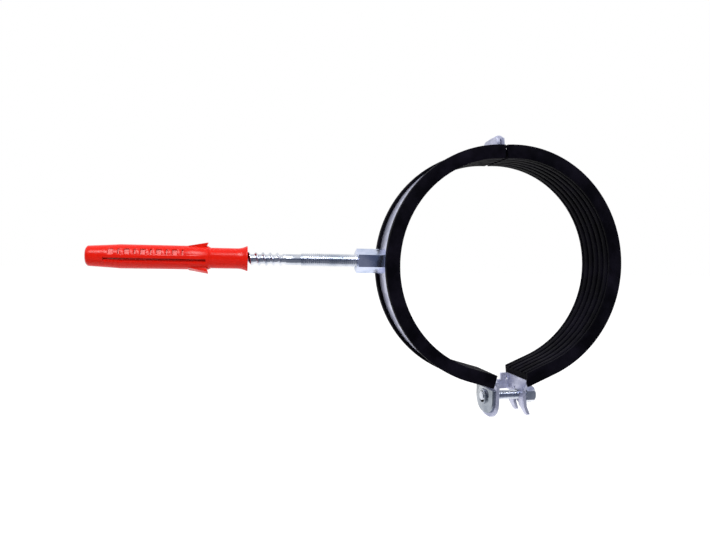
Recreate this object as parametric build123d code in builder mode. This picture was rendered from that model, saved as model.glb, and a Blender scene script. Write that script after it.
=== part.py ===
from build123d import *
import os
from math import asin, cos, radians, sin, sqrt, tan

# Rubber lined pipe clamp on a hanger bolt and wall plug, in millimetres.
# Origin: centre of the pipe seat, midway along the band's width.
# +Y runs along the pipe, -X points to the wall and +Z is up.

# ---- driving dimensions -------------------------------------------------
# pipe seat and rubber lining
pipe_d = 133.0            # outer diameter of the pipe that is held
lining_w = 30.0           # width of the lining along the pipe
rib_h = 1.0               # height of the ribs that touch the pipe
rib_count = 5
rib_w = 3.4
floor_t = 3.5             # rubber between the rib roots and the steel strip
lip_t = 1.8               # thickness of the lips that fold over the strip
lip_w = 4.2               # width of each lip along the pipe
lining_gap = 0.1          # looseness of the lining round the strip

# steel strip
strip_w = 26.0
sheet_t = 2.0
bend_r = 1.0              # inside radius of every bend

# parting line
left_tail_deg = 164.0     # where the left band leaves its circle, from the top
right_tail_deg = 163.0
left_ear_x = 0.6          # right face of the left ear, past the parting plane
right_ear_x = 2.6         # left face of the fork ear at its root, when shut
ear_lean_deg = 4.0        # how far the fork ear leans towards the left ear when shut
left_lining_x = 1.8       # ends of the linings, from the parting plane
right_lining_x = 2.9
top_gap = 0.35            # each lining's end from the parting plane at the top
open_deg = 6.0            # how far the right half stands open at rest

# hinge hook at the top
hinge_rise = 4.0          # hinge axis above the lips of the lining
hook_w = 9.0
hook_clear = 0.25
hook_end_deg = -50.0      # where the hook's wrap ends, from +X
bar_h = 2.4
hinge_plate_w = 20.0
hinge_plate_top = 1.8     # height of the left hinge plate above the axis
hinge_plate_round = 4.0
hook_slot_clear = 0.3
slot_side_clear = 0.5
lip_clear = 0.4           # lips keep this far from plates and nut

# closing screw, M6, and its two ears
screw_r = 3.0
screw_drop = 9.3          # screw axis below the lips of the lining
screw_hole_drop = 0.5     # middle of the hole below the screw axis
screw_swing_clear = 0.8   # the hole's extra radius, for the swing of the screw
screw_tip_x = -6.2
screw_tip_chamfer = 0.5
head_af = 10.0
head_h = 6.2
head_flange_r = 5.6
head_flange_t = 1.2
head_dish_r = 3.0
head_dish_t = 0.8
washer_r = 6.0
washer_t = 1.6
washer_clear = 0.2
washer_stand_off = 0.35   # gap left between the washer and the tilted fork
left_ear_drop = 22.6      # ends of both ears below the lips of the lining
left_ear_round = 11.0
nut_plate_t = 2.3
nut_plate_w = 24.0
nut_plate_above = 5.3     # from the screw axis up to the top of the plate
nut_plate_below = 10.8
nut_plate_round = 10.0
collar_r = 4.9
collar_t = 1.5
fork_drop = 22.3
fork_slot_w = 6.6
slot_clear = 0.2
fork_neck_w = 21.0
fork_shoulder_drop = 1.5  # where the near edge starts to narrow
fork_waist_drop = 6.5     # and where it is narrowest
fork_waist_w = 18.0
prong_bend_drop = 16.2
prong_flare_deg = 25.0
prong_tip_w = 4.0
prong_tip_y = 7.6
prong_tip_flat = 0.2
wing_l = 6.8
wing_clear = 0.2
wing_drop = 3.2           # top of the wing below the lips of the lining
wing_h = 6.2
wing_tab_l = 4.0          # the taller part of the wing, beside the linings' ends
wing_tab_h = 4.4
dimple_r = 0.8
dimple_y = 2.0
dimple_rise = 4.1         # above the middle of the slot's round end
dimple_depth = 0.8

# connection nut, M8, welded to the left band
bolt_z = 1.6              # bolt axis above the middle of the pipe
bolt_r = 4.0
nut_af = 13.0
nut_l = 17.4
nut_clear = 0.06
nut_chamfer = 0.8

# hanger bolt
bolt_l = 120.0
bolt_start_gap = 2.2      # bolt end from the strip's outer face
bolt_chamfer = 0.8
bolt_thread_l = 49.2
bolt_shank_l = 8.8
bolt_shank_r = 3.2
wood_pitch = 4.2
wood_root_r = 2.9
wood_crest_w = 0.6
wood_point_l = 7.0

# wall plug
plug_l = 88.0
plug_bore_clear = 0.15
plug_bore_l = 74.0
plug_from_bolt_end = 39.4  # how far the bolt's point is driven into the plug
plug_body_r = 6.85
plug_nose_r = 5.7
plug_nose_l = 14.0
plug_nose_step = 0.3
plug_nose_round = 0.8
plug_neck_r = 6.0
plug_neck_l = 16.4
plug_neck_step_l = 1.5    # cone between the neck and the body
plug_rim_r = 7.35
plug_flare_l = 6.0        # length over which the neck opens out to the rim
plug_rim_flat = 0.6
plug_groove_w = 1.8       # groove along each side of the body
plug_groove_t = 1.2
plug_slit_w = 0.5         # the split at the bottom of the grooves
plug_slit_l = 55.0
plug_slit_end = 1.2       # solid length between the slit and the neck
plug_slit_deg = -14.0
rib_line_deg = -29.0      # a raised line beside the slit
rib_line_w = 1.3
rib_line_t = 0.35
tooth_row_deg = 25.0
tooth_pairs = 5
tooth_pitch = 8.5
tooth_w = 3.4
tooth_l = 2.4
tooth_gap = 1.0
tooth_depth = 0.9
tooth_start = 14.8        # first tooth from the plug's tip
upper_barb_deg = 90.0
lower_barb_deg = -72.0
barb_tip_r = 8.9
barb_l = 11.0
barb_w = 5.0
barb_t = 1.6

# ---- sizes that follow --------------------------------------------------
seat_r = pipe_d / 2
rib_root_r = seat_r + rib_h
strip_in_r = rib_root_r + floor_t + lining_gap
strip_out_r = strip_in_r + sheet_t
lip_in_r = strip_out_r + lining_gap
lip_out_r = lip_in_r + lip_t
bend_out_r = bend_r + sheet_t

hinge_z = lip_out_r + hinge_rise
screw_z = -lip_out_r - screw_drop
screw_hole_z = screw_z - screw_hole_drop
left_ear_z = -lip_out_r - left_ear_drop
fork_z = -lip_out_r - fork_drop
fork_shoulder_z = -lip_out_r - fork_shoulder_drop
fork_waist_z = -lip_out_r - fork_waist_drop
prong_bend_z = -lip_out_r - prong_bend_drop
wing_top_z = -lip_out_r - wing_drop

hook_in_r = sqrt(sheet_t**2 + bar_h**2) / 2 + hook_clear
hook_out_r = hook_in_r + sheet_t
hook_slot_w = hook_w + 2 * slot_side_clear

screw_hole_r = screw_r + screw_swing_clear
left_ear_back_x = left_ear_x - sheet_t
fork_back_x = right_ear_x + sheet_t

hook_slot_h = hook_out_r + hook_slot_clear - bar_h / 2
bar_foot_x = sheet_t / 2 + bend_out_r
wing_in_y = strip_w / 2 + wing_clear
tooth_span = 2 * tooth_l + tooth_gap

swing = radians(open_deg)
lean = radians(ear_lean_deg)
ear_turn = swing - lean     # how far the fork ear stands off upright at rest


def rest_point(x, z):
    """A point of the shut right half, moved to where it stands at rest."""
    dz = z - hinge_z
    return (x * cos(swing) - dz * sin(swing), hinge_z + x * sin(swing) + dz * cos(swing))


def tail_z(r, tail_deg, x):
    """Height of a tail's face at a distance x from the parting plane."""
    turn = radians(tail_deg)
    return r * cos(turn) - (r * sin(turn) - x) * tan(radians(180) - turn)


def ear_point(x, z):
    """A point of the fork ear, drawn upright, moved to where it stands at rest.

    The ear leans about its root, where its left face meets the strip.
    """
    dx = x - right_ear_x
    dz = z - fork_top
    lean_x = right_ear_x + dx * cos(lean) + dz * sin(lean)
    lean_z = fork_top - dx * sin(lean) + dz * cos(lean)
    return rest_point(lean_x, lean_z)


def side_plane(origin, turn):
    """A plane like XZ, through origin (x, z) and turned about Y."""
    return Plane(
        origin=(origin[0], 0, origin[1]),
        x_dir=(cos(turn), 0, sin(turn)),
        z_dir=(0, -1, 0),
    )


# Left pieces are drawn on the XZ plane. Right pieces are drawn as if shut,
# on a plane that is already swung open about the hinge. The fork ear has
# planes of its own, and the nut, the bolt and the plug lie on the bolt's axis.
fork_top = tail_z(strip_in_r, right_tail_deg, right_ear_x)
left_side = Plane.XZ
right_side = side_plane(rest_point(0, 0), swing)
ear_side = side_plane(ear_point(0, 0), ear_turn)
ear_across = Plane(origin=ear_side.origin, x_dir=(0, 1, 0), z_dir=ear_side.x_dir)
bolt_side = side_plane((0, bolt_z), 0)
bolt_across = Plane(origin=bolt_side.origin, x_dir=(0, 1, 0), z_dir=(1, 0, 0))
bolt_axis = Axis((0, 0, bolt_z), (1, 0, 0))


def half_ring(r_in, r_out, side, top_x, tail_deg, tail_x, square_r=0):
    """Outline of a half ring with a straight tail, side -1 left or +1 right.

    It starts top_x from the parting plane, follows the circle down to
    tail_deg and runs on along the tangent until tail_x from that plane.
    With a square_r the end is cut square to the tail, and is tail_x from
    the parting plane at that radius.
    """
    turn = radians(tail_deg)

    def on_circle(r, angle):
        return (side * r * sin(angle), r * cos(angle))

    def tail_end(r):
        run = ((square_r or r) * sin(turn) - tail_x) / -cos(turn)
        return (side * (r * sin(turn) + run * cos(turn)), r * cos(turn) - run * sin(turn))

    first_out = asin(top_x / r_out)
    first_in = asin(top_x / r_in)
    with BuildSketch() as ring:
        with BuildLine():
            Line(on_circle(r_in, first_in), on_circle(r_out, first_out))
            ThreePointArc(
                on_circle(r_out, first_out),
                on_circle(r_out, (first_out + turn) / 2),
                on_circle(r_out, turn),
            )
            Line(on_circle(r_out, turn), tail_end(r_out))
            Line(tail_end(r_out), tail_end(r_in))
            Line(tail_end(r_in), on_circle(r_in, turn))
            ThreePointArc(
                on_circle(r_in, turn),
                on_circle(r_in, (first_in + turn) / 2),
                on_circle(r_in, first_in),
            )
        make_face()
    return ring.sketch


def nearest_corner(sketch, x, z):
    return sketch.vertices().sort_by_distance(Vector(x, z, 0))[0]


# ---- left band ----------------------------------------------------------
plate_x = hook_in_r        # right face of the left hinge plate, left of the axis
plate_back = plate_x + sheet_t
plate_foot_x = plate_back + bend_out_r
ear_top = tail_z(strip_in_r, left_tail_deg, -left_ear_x)
ear_root = tail_z(strip_out_r, left_tail_deg, -left_ear_back_x)
plate_root = sqrt(strip_out_r**2 - plate_back**2)


def rounded_end(width, end_z, top_z, round_r):
    """A plate's face, seen along X, with its two lower corners rounded."""
    with BuildSketch() as end:
        with BuildLine():
            FilletPolyline(
                (-width / 2, top_z),
                (-width / 2, end_z),
                (width / 2, end_z),
                (width / 2, top_z),
                radius=round_r,
            )
            Line((width / 2, top_z), (-width / 2, top_z))
        make_face()
    return end.sketch


with BuildPart() as left_band:
    with BuildSketch(left_side) as left_band_side:
        add(half_ring(strip_in_r, strip_out_r, -1, plate_foot_x, left_tail_deg, -left_ear_x))
    extrude(amount=strip_w / 2, both=True)
    # ear, bent down and rounded at its end
    with BuildSketch(Plane.YZ.offset(left_ear_x)):
        add(rounded_end(strip_w, left_ear_z, ear_root, left_ear_round))
        with Locations((0, screw_hole_z)):
            Circle(screw_hole_r, mode=Mode.SUBTRACT)
    extrude(amount=-sheet_t)
    with BuildSketch(left_side) as left_bend:
        with BuildLine():
            Polyline(
                (left_ear_x, ear_root),
                (left_ear_x, ear_top),
                (left_ear_back_x, ear_top),
                (left_ear_back_x, ear_root),
                close=True,
            )
        make_face()
    extrude(amount=strip_w / 2, both=True)
    bend_line = left_band.edges().filter_by(Axis.Y)
    fillet(bend_line.sort_by_distance((left_ear_x, 0, ear_top))[0], bend_out_r)
    bend_line = left_band.edges().filter_by(Axis.Y)
    fillet(bend_line.sort_by_distance((left_ear_back_x, 0, ear_root))[0], bend_r)
    # hinge plate: the strip's middle turned up
    with BuildSketch(left_side) as hinge_plate_side:
        with BuildLine():
            Polyline(
                (-plate_foot_x, sqrt(strip_out_r**2 - plate_foot_x**2)),
                (-plate_back, plate_root),
                (-plate_back, hinge_z + hinge_plate_top),
                (-plate_x, hinge_z + hinge_plate_top),
                (-plate_x, sqrt(strip_in_r**2 - plate_x**2)),
                (-plate_foot_x, sqrt(strip_in_r**2 - plate_foot_x**2)),
                close=True,
            )
        make_face()
        fillet(nearest_corner(hinge_plate_side, -plate_back, plate_root), bend_r)
        fillet(
            nearest_corner(hinge_plate_side, -plate_x, sqrt(strip_in_r**2 - plate_x**2)),
            bend_out_r,
        )
    extrude(amount=hinge_plate_w / 2, both=True)
    plate_corners = left_band.edges().filter_by(Axis.X).group_by(Axis.Z)[-1]
    fillet(plate_corners, hinge_plate_round)
    # hook: the middle of the plate rolled over the right half's bar
    with BuildSketch(left_side):
        with Locations((0, hinge_z)):
            Circle(hook_out_r)
            Circle(hook_in_r, mode=Mode.SUBTRACT)
        with BuildLine():
            Polyline(
                (0, hinge_z),
                (-2 * hook_out_r, hinge_z),
                (-2 * hook_out_r, hinge_z - 2 * hook_out_r),
                (hook_out_r * cos(radians(hook_end_deg)) * 2,
                 hinge_z + hook_out_r * sin(radians(hook_end_deg)) * 2),
                close=True,
            )
        make_face(mode=Mode.SUBTRACT)
    extrude(amount=hook_w / 2, both=True)
left_band.part.label = "left_band"


# ---- right band ---------------------------------------------------------
fork_root = tail_z(strip_out_r, right_tail_deg, fork_back_x)
flare = (prong_bend_z - fork_z) * tan(radians(prong_flare_deg))
# height, on the ear, of the screw's axis at rest
screw_on_ear_z = (screw_z - ear_side.origin.Z - right_ear_x * sin(ear_turn)) / cos(ear_turn)
slot_z = screw_on_ear_z + slot_clear
dimple_z = slot_z + dimple_rise

with BuildPart() as fork:
    # the ear seen from the side, with its prongs flared away
    with BuildSketch(ear_side):
        with BuildLine():
            Polyline(
                (right_ear_x, fork_top),
                (right_ear_x, prong_bend_z),
                (right_ear_x + flare, fork_z),
                (fork_back_x + flare, fork_z),
                (fork_back_x, prong_bend_z),
                (fork_back_x, fork_root),
                close=True,
            )
        make_face()
    extrude(amount=strip_w / 2, both=True)
    # the same ear seen along the screw, narrowed at its waist
    with BuildSketch(ear_across):
        with BuildLine():
            Polyline(
                (0, fork_top),
                (strip_w / 2, fork_top),
                (strip_w / 2, fork_shoulder_z),
                (fork_waist_w / 2, fork_waist_z),
                (fork_neck_w / 2, prong_bend_z),
                (prong_tip_y + prong_tip_w / 2, fork_z),
                (prong_tip_y - prong_tip_w / 2, fork_z),
                (fork_slot_w / 2, prong_bend_z),
                (0, prong_bend_z),
                close=True,
            )
        make_face()
        mirror(about=Plane.YZ)
        with Locations((0, slot_z)):
            Circle(fork_slot_w / 2, mode=Mode.SUBTRACT)
        with Locations((0, (slot_z + fork_z) / 2)):
            Rectangle(fork_slot_w, slot_z - fork_z, mode=Mode.SUBTRACT)
    extrude(amount=2 * strip_w, both=True, mode=Mode.INTERSECT)
    prong_tips = fork.faces().sort_by(Axis.Z)[:2].edges().filter_by(Axis.Y, reverse=True)
    fillet(prong_tips, prong_tip_w / 2 - prong_tip_flat)

# guide wing at the far edge of the ear, with a taller tab at its root
wing_foot = ear_point(0, wing_top_z - wing_h)
wing_plan = Plane(
    origin=(wing_foot[0], 0, wing_foot[1]),
    x_dir=ear_side.x_dir,
    z_dir=(-sin(ear_turn), 0, cos(ear_turn)),
)
wing_root_y = fork_waist_w / 2 - sheet_t

with BuildPart() as right_band:
    with BuildSketch(right_side):
        add(half_ring(strip_in_r, strip_out_r, 1, bar_foot_x, right_tail_deg, right_ear_x))
    extrude(amount=strip_w / 2, both=True)
    add(fork.part)
    with BuildSketch(ear_across.offset(right_ear_x + dimple_depth)):
        with Locations((dimple_y, dimple_z)):
            Circle(dimple_r)
    extrude(amount=-2 * dimple_depth, mode=Mode.SUBTRACT)
    with BuildSketch(wing_plan) as guide_wing:
        with BuildLine():
            Polyline(
                (fork_back_x, wing_root_y),
                (fork_back_x, wing_in_y + sheet_t),
                (right_ear_x - wing_l, wing_in_y + sheet_t),
                (right_ear_x - wing_l, wing_in_y),
                (right_ear_x, wing_in_y),
                (right_ear_x, wing_root_y),
                close=True,
            )
        make_face()
        fillet(nearest_corner(guide_wing, right_ear_x, wing_in_y), bend_r)
        fillet(nearest_corner(guide_wing, fork_back_x, wing_in_y + sheet_t), bend_out_r)
    extrude(amount=wing_h)
    with BuildSketch(wing_plan):
        with Locations((right_ear_x - wing_tab_l, wing_in_y)):
            Rectangle(wing_tab_l, sheet_t, align=(Align.MIN, Align.MIN))
    extrude(amount=wing_h + wing_tab_h)
    # hinge plate with a slot, which leaves a bar for the hook
    with BuildSketch(right_side) as bar_side:
        with BuildLine():
            Polyline(
                (-sheet_t / 2, hinge_z + bar_h / 2),
                (sheet_t / 2, hinge_z + bar_h / 2),
                (sheet_t / 2, sqrt(strip_out_r**2 - sheet_t**2 / 4)),
                (bar_foot_x, sqrt(strip_out_r**2 - bar_foot_x**2)),
                (bar_foot_x, sqrt(strip_in_r**2 - bar_foot_x**2)),
                (-sheet_t / 2, sqrt(strip_in_r**2 - sheet_t**2 / 4)),
                close=True,
            )
        make_face()
        fillet(nearest_corner(bar_side, sheet_t / 2, strip_out_r), bend_r)
        fillet(nearest_corner(bar_side, -sheet_t / 2, strip_in_r), bend_out_r)
    extrude(amount=hinge_plate_w / 2, both=True)
    with BuildSketch(right_side):
        with Locations((0, hinge_z - bar_h / 2 - hook_slot_h / 2)):
            Rectangle(2 * sheet_t, hook_slot_h)
    extrude(amount=hook_slot_w / 2, both=True, mode=Mode.SUBTRACT)
right_band.part.label = "right_band"


# ---- rubber lining ------------------------------------------------------
def lining_layers(side, top_x, tail_deg, end_x, square_r=0):
    """Rubber layers as (outline, low y, high y) for one half."""
    wall_y = strip_w / 2 + lining_gap
    edge_y = lining_w / 2
    ends = (side, top_x, tail_deg, end_x, square_r)
    floor = half_ring(rib_root_r, strip_in_r - lining_gap, *ends)
    rib = half_ring(seat_r, rib_root_r, *ends)
    wall = half_ring(seat_r, lip_out_r, *ends)
    lip = half_ring(lip_in_r, lip_out_r, *ends)
    layers = [(floor, -edge_y, edge_y)]
    rib_pitch = strip_w / rib_count
    for i in range(rib_count):
        y = (i - (rib_count - 1) / 2) * rib_pitch
        layers.append((rib, y - rib_w / 2, y + rib_w / 2))
    layers.append((wall, -edge_y, -wall_y))
    layers.append((wall, wall_y, edge_y))
    layers.append((lip, -edge_y, -edge_y + lip_w))
    layers.append((lip, edge_y - lip_w, edge_y))
    return layers


nut_corner_r = nut_af / 2 / cos(radians(30))
notch_y = hinge_plate_w / 2 + lip_clear
notch_h = 4 * lip_t
strip_mid_r = (strip_in_r + strip_out_r) / 2
ear_notch_z = ear_root - lining_gap / 2 - notch_h / 2
fork_notch_z = fork_root - lining_gap / 2 - notch_h / 2

with BuildPart() as left_lining:
    layers = lining_layers(-1, top_gap, left_tail_deg, left_lining_x, seat_r)
    for outline, low_y, high_y in layers:
        with BuildSketch(left_side.offset(-low_y)):
            add(outline)
        extrude(amount=low_y - high_y)
    # lips cut away at the hinge plate, the ear and the nut
    with BuildSketch(left_side):
        with Locations((-(plate_foot_x + lip_clear) / 2, strip_mid_r)):
            Rectangle(plate_foot_x + lip_clear, notch_h, align=(Align.CENTER, Align.MIN))
    extrude(amount=notch_y, both=True, mode=Mode.SUBTRACT)
    with BuildSketch(left_side):
        with Locations((left_ear_back_x - (bend_r + lip_clear) / 2 + sheet_t, ear_notch_z)):
            Rectangle(bend_r + lip_clear + 2 * sheet_t, notch_h)
    extrude(amount=strip_w / 2 + lining_gap, both=True, mode=Mode.SUBTRACT)
    with BuildSketch(bolt_across.offset(-lip_out_r - lip_t)):
        Rectangle(nut_af + 2 * lip_clear, 2 * nut_corner_r + 2 * lip_clear)
    extrude(amount=lip_out_r + lip_t - strip_mid_r, mode=Mode.SUBTRACT)
left_lining.part.label = "left_lining"

with BuildPart() as right_lining:
    layers = lining_layers(1, top_gap, right_tail_deg, right_lining_x)
    for outline, low_y, high_y in layers:
        with BuildSketch(right_side.offset(-low_y)):
            add(outline)
        extrude(amount=low_y - high_y)
    # lips cut away at the hinge plate and the fork
    with BuildSketch(right_side):
        with Locations(((bar_foot_x + lip_clear) / 2, strip_mid_r)):
            Rectangle(bar_foot_x + lip_clear, notch_h, align=(Align.CENTER, Align.MIN))
    extrude(amount=notch_y, both=True, mode=Mode.SUBTRACT)
    with BuildSketch(right_side):
        with Locations((fork_back_x + (bend_r + lip_clear) / 2 - sheet_t, fork_notch_z)):
            Rectangle(bend_r + lip_clear + 2 * sheet_t, notch_h)
    extrude(amount=strip_w / 2 + lining_gap, both=True, mode=Mode.SUBTRACT)
right_lining.part.label = "right_lining"


# ---- connection nut -----------------------------------------------------
nut_end_x = -strip_out_r - nut_l

with BuildPart() as connection_nut:
    with BuildSketch(bolt_across.offset(nut_end_x)):
        RegularPolygon(nut_af / 2, 6, major_radius=False, rotation=30)
        Circle(bolt_r + nut_clear, mode=Mode.SUBTRACT)
    extrude(amount=nut_l + sheet_t)
    with BuildSketch(bolt_side):
        with BuildLine():
            Polyline(
                (nut_end_x, 0),
                (nut_end_x, nut_corner_r - nut_chamfer),
                (nut_end_x + nut_chamfer / 2, nut_corner_r),
                (0, nut_corner_r),
                (0, 0),
                close=True,
            )
        make_face()
    revolve(axis=bolt_axis, mode=Mode.INTERSECT)
    Cylinder(strip_out_r, 2 * nut_af, rotation=(90, 0, 0), mode=Mode.SUBTRACT)
connection_nut.part.label = "connection_nut"


# ---- nut plate on the left ear -----------------------------------------
with BuildPart() as nut_plate:
    with BuildSketch(Plane.YZ.offset(left_ear_back_x)):
        add(rounded_end(nut_plate_w, screw_z - nut_plate_below, screw_z + nut_plate_above, nut_plate_round))
    extrude(amount=-nut_plate_t)
    with BuildSketch(Plane.YZ.offset(left_ear_back_x - nut_plate_t)):
        with Locations((0, screw_hole_z)):
            Circle(collar_r)
    extrude(amount=-collar_t)
    with BuildSketch(Plane.YZ.offset(left_ear_back_x)):
        with Locations((0, screw_hole_z)):
            Circle(screw_hole_r)
    extrude(amount=-2 * (nut_plate_t + collar_t), mode=Mode.SUBTRACT)
nut_plate.part.label = "nut_plate"


# ---- closing screw and washer ------------------------------------------
washer_x = washer_stand_off + max(
    ear_point(fork_back_x, screw_on_ear_z - washer_r)[0],
    ear_point(fork_back_x, screw_on_ear_z + washer_r)[0],
)
head_x = washer_x + washer_t
head_end_x = head_x + head_flange_t + head_h

with BuildPart() as screw_washer:
    with BuildSketch(Plane.YZ.offset(washer_x)):
        with Locations((0, screw_z)):
            Circle(washer_r)
            Circle(screw_r + washer_clear, mode=Mode.SUBTRACT)
    extrude(amount=washer_t)
screw_washer.part.label = "screw_washer"

with BuildPart() as closing_screw:
    with BuildSketch(Plane.YZ.offset(screw_tip_x)):
        with Locations((0, screw_z)):
            Circle(screw_r)
    extrude(amount=head_x - screw_tip_x)
    chamfer(closing_screw.edges().filter_by(GeomType.CIRCLE).sort_by(Axis.X)[0], screw_tip_chamfer)
    with BuildSketch(Plane.YZ.offset(head_x)):
        with Locations((0, screw_z)):
            Circle(head_flange_r)
    extrude(amount=head_flange_t)
    with BuildSketch(Plane.YZ.offset(head_x + head_flange_t)):
        with Locations((0, screw_z)):
            RegularPolygon(head_af / 2, 6, major_radius=False, rotation=30)
    extrude(amount=head_h)
    with BuildSketch(Plane.YZ.offset(head_end_x)):
        with Locations((0, screw_z)):
            Circle(head_dish_r)
    extrude(amount=-head_dish_t, mode=Mode.SUBTRACT)
closing_screw.part.label = "closing_screw"


# ---- hanger bolt --------------------------------------------------------
bolt_x = -strip_out_r - bolt_start_gap
shank_x = bolt_x - bolt_thread_l
wood_x = shank_x - bolt_shank_l
bolt_tip_x = bolt_x - bolt_l
point_x = bolt_tip_x + wood_point_l
wood_turns = int((wood_x - point_x) / wood_pitch)
flank = wood_pitch / 4

with BuildPart() as hanger_bolt:
    with BuildSketch(bolt_side):
        with BuildLine():
            outline = [
                (bolt_x, 0),
                (bolt_x, bolt_r - bolt_chamfer),
                (bolt_x - bolt_chamfer, bolt_r),
                (shank_x + bolt_chamfer, bolt_r),
                (shank_x, bolt_shank_r),
                (wood_x, bolt_shank_r),
                (wood_x, wood_root_r),
            ]
            for i in range(wood_turns):
                crest_x = wood_x - (i + 0.5) * wood_pitch
                outline += [
                    (crest_x + flank, wood_root_r),
                    (crest_x + wood_crest_w / 2, bolt_r),
                    (crest_x - wood_crest_w / 2, bolt_r),
                    (crest_x - flank, wood_root_r),
                ]
            outline += [(point_x, wood_root_r), (bolt_tip_x, 0)]
            Polyline(*outline, close=True)
        make_face()
    revolve(axis=bolt_axis)
hanger_bolt.part.label = "hanger_bolt"


# ---- wall plug ----------------------------------------------------------
plug_end_x = bolt_tip_x + plug_from_bolt_end
plug_tip_x = plug_end_x - plug_l
neck_x = plug_end_x - plug_flare_l
body_x = neck_x - plug_neck_l
nose_x = plug_tip_x + plug_nose_l
slit_x = body_x - plug_slit_end - plug_slit_l / 2
tooth_x = plug_tip_x + tooth_start
plug_bore_r = bolt_r + plug_bore_clear


def plug_side(angle_deg, x, distance):
    """A plane on the plug, facing out at an angle above the near side (-Y)."""
    out = Vector(0, -cos(radians(angle_deg)), sin(radians(angle_deg)))
    return Plane(origin=Vector(x, 0, bolt_z) + out * distance, x_dir=(1, 0, 0), z_dir=out)


def plug_section(angle_deg):
    """A plane through the bolt's axis, whose y axis is at that angle."""
    turn = radians(angle_deg)
    return Plane(origin=bolt_side.origin, x_dir=(1, 0, 0), z_dir=(0, -sin(turn), -cos(turn)))


with BuildPart() as wall_plug:
    with BuildSketch(bolt_side):
        with BuildLine():
            TangentArc(
                (neck_x, plug_neck_r),
                (plug_end_x - plug_rim_flat, plug_rim_r),
                tangent=(1, 0),
            )
            Polyline(
                (plug_end_x - plug_rim_flat, plug_rim_r),
                (plug_end_x, plug_rim_r),
                (plug_end_x, 0),
                (plug_tip_x, 0),
                (plug_tip_x, plug_nose_r - plug_nose_round),
                (plug_tip_x + plug_nose_round, plug_nose_r),
                (nose_x, plug_body_r - plug_nose_step),
                (nose_x + plug_nose_l / 4, plug_body_r),
                (body_x, plug_body_r),
                (body_x + plug_neck_step_l, plug_neck_r),
                (neck_x, plug_neck_r),
            )
        make_face()
    revolve(axis=bolt_axis)
    # raised line along the body, beside the slit
    with BuildSketch(plug_side(rib_line_deg, slit_x, 0)):
        Rectangle(plug_slit_l, rib_line_w)
    extrude(amount=plug_body_r + rib_line_t)
    # barbs that stop the plug turning, above and below
    for barb_deg in (upper_barb_deg, lower_barb_deg):
        with BuildSketch(plug_section(barb_deg)):
            with BuildLine():
                Polyline(
                    (body_x - barb_l, plug_body_r - barb_t),
                    (body_x - barb_l, plug_body_r),
                    (body_x, barb_tip_r),
                    (body_x - barb_t / 2, plug_body_r),
                    (body_x - barb_l / 2, plug_body_r - barb_t),
                    close=True,
                )
            make_face()
        extrude(amount=barb_w / 2, both=True)
    # bore for the wood thread
    with BuildSketch(bolt_across.offset(plug_end_x)):
        Circle(plug_bore_r)
    extrude(amount=-plug_bore_l, mode=Mode.SUBTRACT)
    # a groove along each side, and a split right through, so that the plug can spread
    for groove_deg in (plug_slit_deg, plug_slit_deg + 180):
        with BuildSketch(plug_side(groove_deg, slit_x, plug_body_r - plug_groove_t)):
            Rectangle(plug_slit_l, plug_groove_w)
        extrude(amount=2 * plug_groove_t, mode=Mode.SUBTRACT)
    with BuildSketch(plug_side(plug_slit_deg, slit_x, 0)):
        Rectangle(plug_slit_l, plug_slit_w)
    extrude(amount=2 * plug_body_r, both=True, mode=Mode.SUBTRACT)
    # two rows of teeth, left standing between cuts
    for row_deg in (tooth_row_deg, tooth_row_deg + 180):
        with BuildSketch(plug_side(row_deg, tooth_x, plug_body_r - tooth_depth)):
            for i in range(tooth_pairs):
                pair_x = i * tooth_pitch
                with Locations((pair_x + tooth_l + tooth_gap / 2, 0)):
                    Rectangle(tooth_gap, tooth_w)
                with Locations((pair_x - (tooth_pitch - tooth_span) / 2, 0)):
                    Rectangle(tooth_pitch - tooth_span, tooth_w)
        extrude(amount=2 * tooth_depth, mode=Mode.SUBTRACT)
wall_plug.part.label = "wall_plug"


# ---- one file for each piece --------------------------------------------
os.makedirs("parts", exist_ok=True)
export_step(left_band.part, "parts/left_band.step")
export_step(right_band.part, "parts/right_band.step")
export_step(left_lining.part, "parts/left_lining.step")
export_step(right_lining.part, "parts/right_lining.step")
export_step(connection_nut.part, "parts/connection_nut.step")
export_step(nut_plate.part, "parts/nut_plate.step")
export_step(closing_screw.part, "parts/closing_screw.step")
export_step(screw_washer.part, "parts/screw_washer.step")
export_step(hanger_bolt.part, "parts/hanger_bolt.step")
export_step(wall_plug.part, "parts/wall_plug.step")
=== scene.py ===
import math
import bmesh
import bpy
from mathutils import Matrix, Vector


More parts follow.
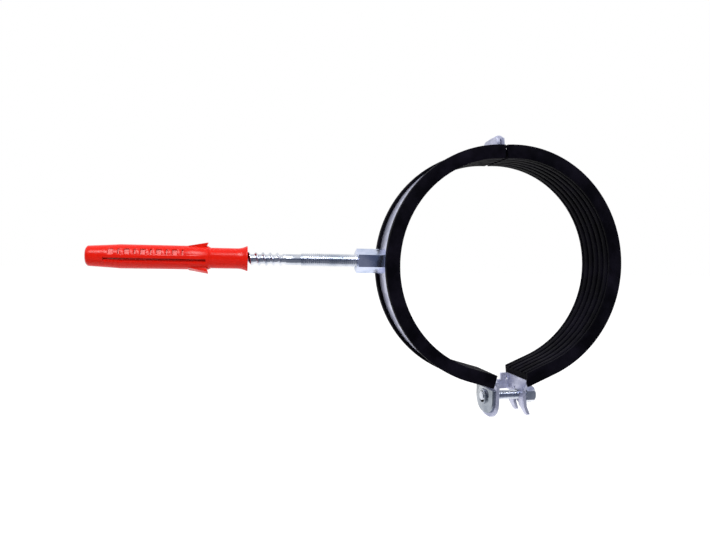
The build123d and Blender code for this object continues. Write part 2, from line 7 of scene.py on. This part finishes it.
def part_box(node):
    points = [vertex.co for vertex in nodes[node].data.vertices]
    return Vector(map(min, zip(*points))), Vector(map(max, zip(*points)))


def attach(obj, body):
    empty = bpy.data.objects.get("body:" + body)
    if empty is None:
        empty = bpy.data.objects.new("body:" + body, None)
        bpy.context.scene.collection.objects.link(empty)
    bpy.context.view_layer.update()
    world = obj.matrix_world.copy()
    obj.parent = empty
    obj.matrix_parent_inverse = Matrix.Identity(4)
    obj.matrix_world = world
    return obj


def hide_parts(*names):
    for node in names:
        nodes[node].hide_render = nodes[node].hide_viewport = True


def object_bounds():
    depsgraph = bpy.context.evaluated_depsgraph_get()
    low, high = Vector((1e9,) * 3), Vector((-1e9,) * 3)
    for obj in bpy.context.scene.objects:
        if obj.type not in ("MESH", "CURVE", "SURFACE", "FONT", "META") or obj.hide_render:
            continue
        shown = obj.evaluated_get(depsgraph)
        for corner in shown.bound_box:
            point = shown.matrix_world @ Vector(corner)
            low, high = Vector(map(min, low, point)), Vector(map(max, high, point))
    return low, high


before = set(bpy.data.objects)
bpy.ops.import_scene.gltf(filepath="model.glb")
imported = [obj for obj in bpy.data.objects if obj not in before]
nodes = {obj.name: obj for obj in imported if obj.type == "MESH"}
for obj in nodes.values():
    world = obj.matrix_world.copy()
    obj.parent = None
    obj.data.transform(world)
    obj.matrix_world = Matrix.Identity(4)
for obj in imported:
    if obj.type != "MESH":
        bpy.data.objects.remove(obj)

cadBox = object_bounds()
mm = 0.001
print("frame loaded")


# a socket, so that sums on sockets are written as plain expressions
class Signal:
    def __init__(self, graph, socket):
        self.graph = graph
        self.socket = socket

    def maths(self, operation, first, second):
        return self.graph.node("ShaderNodeMath", {"operation": operation}, {0: first, 1: second})

    def __add__(self, other):
        return self.maths("ADD", self, other)

    def __radd__(self, other):
        return self.maths("ADD", other, self)

    def __sub__(self, other):
        return self.maths("SUBTRACT", self, other)

    def __rsub__(self, other):
        return self.maths("SUBTRACT", other, self)

    def __mul__(self, other):
        return self.maths("MULTIPLY", self, other)

    def __rmul__(self, other):
        return self.maths("MULTIPLY", other, self)

    def __truediv__(self, other):
        return self.maths("DIVIDE", self, other)

    def __abs__(self):
        return self.maths("ABSOLUTE", self, 0.0)


# a node tree, with short calls for the nodes that are used most
class Graph:
    def __init__(self, tree):
        self.tree = tree

    def link(self, signal, socket):
        self.tree.links.new(signal.socket, socket)

    def add(self, kind, settings, inputs):
        made = self.tree.nodes.new(kind)
        for key, value in (settings or {}).items():
            setattr(made, key, value)
        for key, value in (inputs or {}).items():
            if isinstance(value, Signal):
                self.link(value, made.inputs[key])
            else:
                made.inputs[key].default_value = value
        return made

    def node(self, kind, settings=None, inputs=None, output=0):
        return Signal(self, self.add(kind, settings, inputs).outputs[output])

    def several(self, kind, outputs, inputs=None):
        made = self.add(kind, None, inputs)
        return [Signal(self, made.outputs[output]) for output in outputs]

    def mix(self, factor, first, second):
        return self.node("ShaderNodeMix", {"data_type": "RGBA"}, {0: factor, 6: first, 7: second}, 2)

    def clamp(self, value):
        return self.node("ShaderNodeClamp", None, {"Value": value})

    def spread(self, value, span):
        # what lies within span, spread over 0 to 1
        return self.node("ShaderNodeMapRange", None, {"Value": value, 1: span[0], 2: span[1]})

    def noise(self, place, scale, detail=3.0, roughness=0.5):
        return self.node("ShaderNodeTexNoise", None, {
            "Vector": place, "Scale": scale, "Detail": detail, "Roughness": roughness})

    def stretched(self, scale):
        return self.node("ShaderNodeMapping", None, {"Vector": self.place, "Scale": scale})

    def bump(self, look, height):
        return self.node("ShaderNodeBump", None, {
            "Strength": look["bumpStrength"], "Distance": look["bumpDepth"], "Height": height})

    def feed(self, **links):
        for key, signal in links.items():
            self.link(signal, self.surface.inputs[key.replace("_", " ")])


def shaderFor(name, values):
    # a Principled material whose plain numbers are set on its own sockets
    material = bpy.data.materials.new(name)
    material.use_nodes = True
    graph = Graph(material.node_tree)
    graph.surface = material.node_tree.nodes["Principled BSDF"]
    for key, value in values.items():
        graph.surface.inputs[key].default_value = value
    graph.place = graph.node("ShaderNodeTexCoord", output="Object")
    return material, graph


def roughnessOf(look, share):
    return look["smoothest"] + (look["roughest"] - look["smoothest"]) * share


zinc = {
    "pale": (0.60, 0.61, 0.76, 1), "deep": (0.36, 0.38, 0.52, 1), "metal": 1.0,
    "patchScale": 90.0, "patchDetail": 4.0, "patchRoughness": 0.6, "patchSpan": (0.35, 0.68),
    "grainScale": 900.0, "grainDetail": 2.0, "grainStretch": (1, 1, 1),
    "smoothest": 0.16, "roughest": 0.32, "patchShare": 0.45,
    "bumpStrength": 0.25, "bumpDepth": 0.00006, "patchHeight": 0.6,
}


def makeZinc(name, **changes):
    look = {**zinc, **changes}
    material, graph = shaderFor(name, {"Metallic": look["metal"]})
    patches = graph.noise(
        graph.place, look["patchScale"], look["patchDetail"], look["patchRoughness"])
    grain = graph.noise(
        graph.stretched(look["grainStretch"]), look["grainScale"], look["grainDetail"])
    tone = graph.spread(patches, look["patchSpan"])
    share = look["patchShare"]
    graph.feed(
        Base_Color=graph.mix(tone, look["pale"], look["deep"]),
        Roughness=roughnessOf(look, share * tone + (1 - share) * grain),
        Normal=graph.bump(look, grain + look["patchHeight"] * patches),
    )
    return material


rubber = {
    "black": (0.0014, 0.0012, 0.0026, 1), "bloom": (0.007, 0.006, 0.012, 1), "specular": 0.025,
    "bloomScale": 55.0, "bloomDetail": 5.0, "bloomRoughness": 0.62, "bloomSpan": (0.42, 0.80),
    "grainScale": 1600.0, "grainDetail": 2.0,
    "smoothest": 0.48, "roughest": 0.70,
    "bumpStrength": 0.35, "bumpDepth": 0.00008, "bloomHeight": 0.8,
}


def makeRubber(look):
    material, graph = shaderFor("liningRubber", {
        "Metallic": 0.0, "Specular IOR Level": look["specular"]})
    bloom = graph.noise(
        graph.place, look["bloomScale"], look["bloomDetail"], look["bloomRoughness"])
    grain = graph.noise(graph.place, look["grainScale"], look["grainDetail"])
    graph.feed(
        Base_Color=graph.mix(
            graph.spread(bloom, look["bloomSpan"]), look["black"], look["bloom"]),
        Roughness=roughnessOf(look, bloom),
        Normal=graph.bump(look, grain + look["bloomHeight"] * bloom),
    )
    return material


nylon = {
    "red": (0.66, 0.009, 0.001, 1), "deepRed": (0.44, 0.002, 0.001, 1), "specular": 0.20,
    "glow": 0.08, "glowReach": (0.004, 0.001, 0.0005),  # light that passes through the nylon
    "flowScale": 70.0, "flowStretch": (0.25, 1, 1), "flowSpan": (0.30, 0.75), "flowShare": 0.5,
    "grainScale": 1300.0, "grainDetail": 2.0,
    "smoothest": 0.20, "roughest": 0.32,
    "bumpStrength": 0.08, "bumpDepth": 0.00005,
}


def makeNylon(look):
    material, graph = shaderFor("plugNylon", {
        "Metallic": 0.0, "Specular IOR Level": look["specular"],
        "Subsurface Weight": look["glow"], "Subsurface Radius": look["glowReach"]})
    flow = graph.noise(graph.stretched(look["flowStretch"]), look["flowScale"])
    grain = graph.noise(graph.place, look["grainScale"], look["grainDetail"])
    tone = graph.spread(flow, look["flowSpan"])
    graph.feed(
        Base_Color=graph.mix(tone * look["flowShare"], look["red"], look["deepRed"]),
        Roughness=roughnessOf(look, grain),
        Normal=graph.bump(look, grain + flow),
    )
    return material


stripZinc = makeZinc(
    "stripZinc", metal=0.72, smoothest=0.30, roughest=0.46, grainStretch=(1, 0.15, 1))
boltZinc = makeZinc(
    "boltZinc", pale=(0.74, 0.76, 0.82, 1), deep=(0.46, 0.50, 0.58, 1),
    smoothest=0.12, roughest=0.26)
nutZinc = makeZinc("nutZinc", pale=(0.68, 0.72, 0.90, 1), deep=(0.44, 0.52, 0.70, 1))
plateZinc = makeZinc("plateZinc", pale=(0.45, 0.48, 0.52, 1), deep=(0.25, 0.28, 0.33, 1))
liningRubber = makeRubber(rubber)
plugNylon = makeNylon(nylon)
print("materials made")


def addObject(name, data):
    added = bpy.data.objects.new(name, data)
    bpy.context.scene.collection.objects.link(added)
    return added


def addPiece(name, mesh, material, body, replaced):
    piece = addObject(name, mesh)
    mesh.materials.clear()
    mesh.materials.append(material)
    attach(piece, body)
    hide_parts(replaced)


def evaluated(piece):
    # the mesh with its modifiers applied, as plain data
    depsgraph = bpy.context.evaluated_depsgraph_get()
    mesh = bpy.data.meshes.new_from_object(piece.evaluated_get(depsgraph))
    bpy.data.objects.remove(piece)
    return mesh


easing = {
    "weldGap": 1e-6, "flatAngle": 0.4,  # metres and degrees, to clear up the CAD's triangles
    "sharpAngle": 28, "segments": 2,
}


def easedCopy(node, edge, s):
    # a CAD solid's mesh with its sharp edges eased
    mesh = nodes[node].data.copy()
    work = bmesh.new()
    work.from_mesh(mesh)
    bmesh.ops.remove_doubles(work, verts=work.verts, dist=s["weldGap"])
    bmesh.ops.dissolve_limit(
        work, angle_limit=math.radians(s["flatAngle"]), verts=work.verts, edges=work.edges)
    work.to_mesh(mesh)
    work.free()
    mesh.shade_smooth()
    piece = addObject("work", mesh)
    bevel = piece.modifiers.new("ease", "BEVEL")
    bevel.width = edge
    bevel.segments = s["segments"]
    bevel.limit_method = "ANGLE"
    bevel.angle_limit = math.radians(s["sharpAngle"])
    bevel.harden_normals = True
    bevel.miter_outer = "MITER_ARC"
    return evaluated(piece)


eased = {  # width of the eased edge in millimetres, material, body and slot
    "left_band": (0.25, stripZinc, "left_half", "zinc"),
    "right_band": (0.25, stripZinc, "right_half", "zinc"),
    "left_lining": (0.20, liningRubber, "left_half", "lining"),
    "right_lining": (0.20, liningRubber, "right_half", "lining"),
    "connection_nut": (0.18, nutZinc, "left_half", "zinc_nut"),
    "nut_plate": (0.35, plateZinc, "left_half", "zinc"),
    "screw_washer": (0.15, boltZinc, "right_half", "zinc_screw"),
    "wall_plug": (0.22, plugNylon, "plug", "plug"),
}

for node, (edge, material, body, slot) in eased.items():
    addPiece(node + "_eased", easedCopy(node, edge * mm, easing), material, body, node)
print("eased copies made")

rodInputs = {  # the tree's inputs, in metres, with the values it has before a rod sets them
    "Length": 0.04, "Core Radius": 0.003, "Crest Radius": 0.004, "Pitch": 0.001,
    "Crest Width": 0.0001, "Base Width": 0.001, "Run Out": 0.001, "Point": 0.0001,
}
rodCounts = {"Rings": 100, "Sides": 40}
rodTip = 0.04  # radius of the very tip, as a share of the radius behind it


def threadTree():
    # a rod along -X whose radius follows a right-handed helix
    tree = bpy.data.node_groups.new("threadedRod", "GeometryNodeTree")
    for kind, values in {"NodeSocketFloat": rodInputs, "NodeSocketInt": rodCounts}.items():
        for name, value in values.items():
            made = tree.interface.new_socket(name, in_out="INPUT", socket_type=kind)
            made.default_value = value
    tree.interface.new_socket("Material", in_out="INPUT", socket_type="NodeSocketMaterial")
    tree.interface.new_socket("Geometry", in_out="OUTPUT", socket_type="NodeSocketGeometry")
    graph = Graph(tree)
    given = tree.nodes.new("NodeGroupInput")
    size = {s.name: Signal(graph, s) for s in given.outputs if s.name}

    # a plain tube with a radius of 1, with its rings close together
    end = graph.node("ShaderNodeCombineXYZ", None, {"X": size["Length"] * -1.0})
    line = graph.node("GeometryNodeCurvePrimitiveLine", None, {"End": end})
    rings = graph.node("GeometryNodeResampleCurve", None, {"Curve": line, "Count": size["Rings"]})
    circle = graph.node("GeometryNodeCurvePrimitiveCircle", None, {
        "Resolution": size["Sides"], "Radius": 1.0})
    tube = graph.node("GeometryNodeCurveToMesh", None, {
        "Curve": rings, "Profile Curve": circle, "Fill Caps": True})

    # each point's distance from the crest, measured along the rod, gives its height
    place = graph.node("GeometryNodeInputPosition")
    x, y, z = graph.several("ShaderNodeSeparateXYZ", range(3), {"Vector": place})
    turn = graph.node("ShaderNodeMath", {"operation": "ARCTAN2"}, {0: z, 1: y}) / (2 * math.pi)
    along = graph.node("ShaderNodeMath", {"operation": "FRACT"}, {0: x / size["Pitch"] - turn})
    off = abs(along - 0.5) * size["Pitch"]
    slope = (size["Base Width"] - size["Crest Width"]) / 2.0
    ridge = graph.clamp((size["Base Width"] / 2.0 - off) / slope)
    fade = graph.clamp((x * -1.0) / size["Run Out"])
    close = graph.clamp((x + size["Length"]) / size["Point"])
    height = (size["Crest Radius"] - size["Core Radius"]) * ridge * fade
    radius = (size["Core Radius"] + height) * (rodTip + (1 - rodTip) * close)
    moved = graph.node("ShaderNodeCombineXYZ", None, {"X": x, "Y": y * radius, "Z": z * radius})
    shaped = graph.node("GeometryNodeSetPosition", None, {"Geometry": tube, "Position": moved})

    real = graph.node("GeometryNodeRealizeInstances", None, {"Geometry": shaped})
    dressed = graph.node("GeometryNodeSetMaterial", None, {
        "Geometry": real, "Material": size["Material"]})
    result = tree.nodes.new("NodeGroupOutput")
    graph.link(dressed, result.inputs[0])
    return tree


rodTree = threadTree()


def threadedRod(thread, start, length, crest, rings, material):
    # thread holds its sizes in millimetres, and the rest is in metres
    values = {
        "Length": length, "Core Radius": thread["core"] * mm, "Crest Radius": crest,
        "Pitch": thread["pitch"] * mm, "Crest Width": thread["crestWidth"] * mm,
        "Base Width": thread["baseWidth"] * mm, "Run Out": thread["runOut"] * mm,
        "Point": thread["point"] * mm, "Rings": rings, "Sides": thread["sides"],
        "Material": material,
    }
    piece = addObject("work", bpy.data.meshes.new("work"))
    modifier = piece.modifiers.new("thread", "NODES")
    modifier.node_group = rodTree
    for item in rodTree.interface.items_tree:
        if item.in_out == "INPUT":
            modifier[item.identifier] = values[item.name]
    mesh = evaluated(piece)
    mesh.transform(Matrix.Translation(start))
    return mesh


def ringOf(x, axisZ, sides, radiusAt):
    # points round the line y = 0, z = axisZ, at a radius that may change with the turn
    turns = [2 * math.pi * i / sides for i in range(sides)]
    return [
        (x, radiusAt(turn) * math.cos(turn), axisZ + radiusAt(turn) * math.sin(turn))
        for turn in turns]


def ringSolid(rings):
    # a closed solid through rings that have the same number of points
    work = bmesh.new()
    rings = [[work.verts.new(point) for point in ring] for ring in rings]
    sides = len(rings[0])
    for near, far in zip(rings, rings[1:]):
        for i in range(sides):
            k = (i + 1) % sides
            work.faces.new((near[i], near[k], far[k], far[i]))
    work.faces.new(list(reversed(rings[0])))
    work.faces.new(rings[-1])
    bmesh.ops.recalc_face_normals(work, faces=work.faces)
    mesh = bpy.data.meshes.new("turned")
    work.to_mesh(mesh)
    work.free()
    return mesh


def lathe(profile, sides, axisZ):
    # a turned solid whose profile is (x, radius) in order
    return ringSolid([ringOf(x, axisZ, sides, lambda turn: radius) for x, radius in profile])


def joined(meshes, sharp):
    # one mesh of several, shaded smooth apart from edges past the sharp angle in degrees
    work = bmesh.new()
    for mesh in meshes:
        work.from_mesh(mesh)
    whole = bpy.data.meshes.new("whole")
    bmesh.ops.recalc_face_normals(work, faces=work.faces)
    work.to_mesh(whole)
    work.free()
    whole.shade_smooth()
    whole.set_sharp_from_angle(angle=math.radians(sharp))
    return whole


hangerBolt = {
    "machineLength": 49.2, "machineSteps": 10, "woodSteps": 26,  # steps are rings in one pitch
    "machine": {
        "pitch": 1.25, "core": 3.42, "crestWidth": 0.16, "baseWidth": 1.12,
        "runOut": 1.25, "point": 0.3, "sides": 48},
    "wood": {
        "pitch": 4.2, "core": 2.75, "crestWidth": 0.25, "baseWidth": 2.3,
        "runOut": 2.52, "point": 9.0, "sides": 48},
    "shankLength": 8.8, "shankRadius": 3.2, "shankSides": 48,
    "machineLap": 0.8, "machineEdge": 0.4, "machineEase": 0.25,  # end under the machine thread
    "woodLap": 0.9, "woodEdge": 0.1, "woodEase": 0.5,            # end under the wood thread
    "sharpAngle": 32,
}


def makeHangerBolt(s):
    low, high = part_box("hanger_bolt")
    crest = (high.z - low.z) / 2
    axisZ = (high.z + low.z) / 2
    machine = threadedRod(
        s["machine"], (high.x, 0, axisZ), s["machineLength"] * mm, crest,
        int(s["machineLength"] / s["machine"]["pitch"] * s["machineSteps"]), boltZinc)
    shankStart = high.x - s["machineLength"] * mm
    shankEnd = shankStart - s["shankLength"] * mm
    r = s["shankRadius"] * mm
    shank = lathe([
        (shankStart + s["machineLap"] * mm, r - s["machineEase"] * mm),
        (shankStart + s["machineEdge"] * mm, r),
        (shankEnd - s["woodEdge"] * mm, r),
        (shankEnd - s["woodLap"] * mm, r - s["woodEase"] * mm)], s["shankSides"], axisZ)
    woodLength = shankEnd - low.x
    wood = threadedRod(
        s["wood"], (shankEnd, 0, axisZ), woodLength, crest,
        int(woodLength / mm / s["wood"]["pitch"] * s["woodSteps"]), boltZinc)
    mesh = joined([machine, shank, wood], s["sharpAngle"])
    addPiece("hanger_bolt_thread", mesh, boltZinc, "bolt", "hanger_bolt")


makeHangerBolt(hangerBolt)

closingScrew = {
    "thread": {
        "pitch": 1.0, "core": 2.42, "crestWidth": 0.13, "baseWidth": 0.9,
        "runOut": 1.0, "point": 0.4, "sides": 40},
    "crest": 3.0, "steps": 10,
    "neckLength": 3.0, "neckRadius": 2.9, "neckSink": 0.2, "neckSides": 40,
    "taperLength": 0.6, "taperRadius": 2.5,
    "flangeThickness": 1.2, "flangeRadius": 5.6, "flangeSides": 64,
    "flangeEdge": 0.15, "flangeEase": 0.2,     # the rounded edge under the flange
    "flangeRim": 0.55, "flangeSlope": 0.5,     # the straight rim, and the slope above it
    "crownSink": 0.3, "crownRadius": 4.9,      # the flange's top, inside the head
    "acrossFlats": 10.0, "headHeight": 6.2, "headSides": 72,
    "chamferLength": 0.9, "chamferShare": 0.87,
    "dishRadius": 3.2, "dishDepth": 0.7, "dishRim": 0.5, "dishRimDepth": 0.15,
    "dishFloorShare": 0.8, "dishCentre": 0.2,
    "sharpAngle": 28,
}


def hexHead(startX, axisZ, s):
    # hexagon head with a turned chamfer and a dished end, flats facing +Y and -Y
    apothem = s["acrossFlats"] / 2
    sixth = math.pi / 3
    corner = apothem / math.cos(sixth / 2)
    height = s["headHeight"]
    dishFloor = height - s["dishDepth"]
    rows = [  # height above the flange, and the largest radius there
        (0.0, corner), (height - s["chamferLength"], corner),
        (height, corner * s["chamferShare"]), (height, s["dishRadius"] + s["dishRim"]),
        (height - s["dishRimDepth"], s["dishRadius"]),
        (dishFloor, s["dishRadius"] * s["dishFloorShare"]), (dishFloor, s["dishCentre"]),
    ]

    def radiusAt(turn, most):
        sector = (turn + sixth / 2) % sixth - sixth / 2
        return min(apothem / math.cos(sector), most) * mm

    return ringSolid([
        ringOf(startX + x * mm, axisZ, s["headSides"], lambda turn: radiusAt(turn, most))
        for x, most in rows])


def makeClosingScrew(s):
    low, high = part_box("closing_screw")
    axisZ = (low.z + high.z) / 2
    headStart = high.x - s["headHeight"] * mm
    flangeStart = headStart - s["flangeThickness"] * mm
    neckStart = flangeStart - s["neckLength"] * mm
    thread = threadedRod(
        s["thread"], (neckStart, 0, axisZ), neckStart - low.x, s["crest"] * mm,
        int((flangeStart - low.x) / mm / s["thread"]["pitch"] * s["steps"]), boltZinc)
    neck = lathe([
        (neckStart - s["taperLength"] * mm, s["taperRadius"] * mm),
        (neckStart, s["neckRadius"] * mm),
        (flangeStart + s["neckSink"] * mm, s["neckRadius"] * mm)], s["neckSides"], axisZ)
    r = s["flangeRadius"] * mm
    flange = lathe([
        (flangeStart, r - s["flangeEase"] * mm),
        (flangeStart + s["flangeEdge"] * mm, r),
        (flangeStart + s["flangeRim"] * mm, r),
        (headStart, r - s["flangeSlope"] * mm),
        (headStart + s["crownSink"] * mm, s["crownRadius"] * mm)], s["flangeSides"], axisZ)
    mesh = joined([thread, neck, flange, hexHead(headStart, axisZ, s)], s["sharpAngle"])
    addPiece("closing_screw_thread", mesh, boltZinc, "screw", "closing_screw")


makeClosingScrew(closingScrew)
print("threads made")

studio = {
    "white": (1, 1, 1, 1), "ambient": 0.34,
    "floorDrop": 0.16, "floorSize": 30.0, "floorWhite": (0.8, 0.8, 0.8, 1),
    "floorRoughness": 0.9, "floorGlow": 1.3, "floorGlowShare": 0.8,
    "dimSide": (0.30, 0.42, 0.80, 1), "dimShare": 0.86,
    "dimStart": 0.05, "dimRise": 2.2, "dimTop": 1.5, "dimFall": 2.4,
    "floorDimStart": 0.01, "floorDimRise": 9.0, "floorDimGlow": 0.14,
    "lamps": [  # name, place, size, power, and whether gloss shows it
        ("keyLamp", (-0.45, -0.75, 0.85), 0.55, 12.0, True),
        ("topLamp", (0.10, 0.25, 0.95), 0.60, 8.0, False),
        ("fillLamp", (0.85, -0.55, 0.25), 0.50, 2.0, False),
    ],
}
seenBy = ("Is Camera Ray", "Is Glossy Ray", "Is Transmission Ray")


def makeFloor(s):
    low = cadBox[0].z - s["floorDrop"]
    half = s["floorSize"] / 2
    mesh = bpy.data.meshes.new("floor")
    corners = [(-half, -half, low), (half, -half, low), (half, half, low), (-half, half, low)]
    mesh.from_pydata(corners, [], [(0, 1, 2, 3)])
    floor = addObject("floor", mesh)
    material = bpy.data.materials.new("floorPaper")
    material.use_nodes = True
    graph = Graph(material.node_tree)
    paper = graph.tree.nodes["Principled BSDF"]
    paper.inputs["Base Color"].default_value = s["floorWhite"]
    paper.inputs["Roughness"].default_value = s["floorRoughness"]
    camera, glossy, clear = graph.several("ShaderNodeLightPath", seenBy)
    glow = graph.node("ShaderNodeEmission", None, {
        "Color": s["white"], "Strength": s["floorGlow"]})
    shader = graph.node("ShaderNodeMixShader", None, {
        0: graph.clamp(camera + glossy + clear) * s["floorGlowShare"],
        1: Signal(graph, paper.outputs[0]), 2: glow})
    # gloss sees the near side of the floor dim, as it does the near side of the room
    place = graph.node("ShaderNodeTexCoord", output="Object")
    y = graph.several("ShaderNodeSeparateXYZ", range(3), {"Vector": place})[1]
    near = graph.clamp((y * -1.0 - s["floorDimStart"]) * s["floorDimRise"])
    dim = graph.node("ShaderNodeEmission", None, {
        "Color": s["dimSide"], "Strength": s["floorDimGlow"]})
    shader = graph.node("ShaderNodeMixShader", None, {
        0: near * glossy * s["dimShare"], 1: shader, 2: dim})
    graph.link(shader, graph.tree.nodes["Material Output"].inputs["Surface"])
    mesh.materials.append(material)


def makeWorld(s):
    # white where it is seen, with a dim bluish stretch on the near side that only gloss sees
    world = bpy.data.worlds.new("studioWhite")
    bpy.context.scene.world = world
    world.use_nodes = True
    graph = Graph(world.node_tree)
    camera, glossy, clear = graph.several("ShaderNodeLightPath", seenBy)
    direction = graph.node("ShaderNodeTexCoord", output="Generated")
    x, y, z = graph.several("ShaderNodeSeparateXYZ", range(3), {"Vector": direction})
    ahead = graph.clamp((y * -1.0 - s["dimStart"]) * s["dimRise"])
    level = graph.clamp(s["dimTop"] - abs(z) * s["dimFall"])
    dim = ahead * level * glossy
    strength = s["ambient"] + (1.0 - s["ambient"]) * graph.clamp(camera + glossy + clear)
    background = world.node_tree.nodes["Background"]
    graph.link(graph.mix(dim, s["white"], s["dimSide"]), background.inputs["Color"])
    graph.link(strength * (1.0 - s["dimShare"] * dim), background.inputs["Strength"])


def makeLamps(s):
    aim = (cadBox[0] + cadBox[1]) / 2
    for name, place, size, power, gloss in s["lamps"]:
        light = bpy.data.lights.new(name, "AREA")
        light.shape = "DISK"
        light.size = size
        light.energy = power
        lamp = addObject(name, light)
        lamp.location = place
        lamp.visible_glossy = gloss
        lamp.rotation_mode = "QUATERNION"
        lamp.rotation_quaternion = (aim - Vector(place)).to_track_quat("-Z", "Y")


view = {
    "place": (-0.1605, -0.3326, 0.0003), "yaw": 0.2063, "pitch": -0.0310, "roll": 0.0180,
    "focal": 28.04, "sensor": 36,
}


def makeCamera(v):
    data = bpy.data.cameras.new("camera")
    data.lens = v["focal"]
    data.sensor_width = v["sensor"]
    camera = addObject("camera", data)
    yaw, pitch, roll = v["yaw"], v["pitch"], v["roll"]
    ahead = Vector((
        math.sin(yaw) * math.cos(pitch), math.cos(yaw) * math.cos(pitch), math.sin(pitch)))
    level = Vector((math.cos(yaw), -math.sin(yaw), 0))
    rise = level.cross(ahead)
    right = math.cos(roll) * level + math.sin(roll) * rise
    up = math.cos(roll) * rise - math.sin(roll) * level
    turned = Matrix((right, up, -ahead)).transposed().to_4x4()
    camera.matrix_world = Matrix.Translation(v["place"]) @ turned
    bpy.context.scene.camera = camera


makeFloor(studio)
makeWorld(studio)
makeLamps(studio)
makeCamera(view)
bpy.context.scene.view_settings.view_transform = "Standard"
print("studio made")
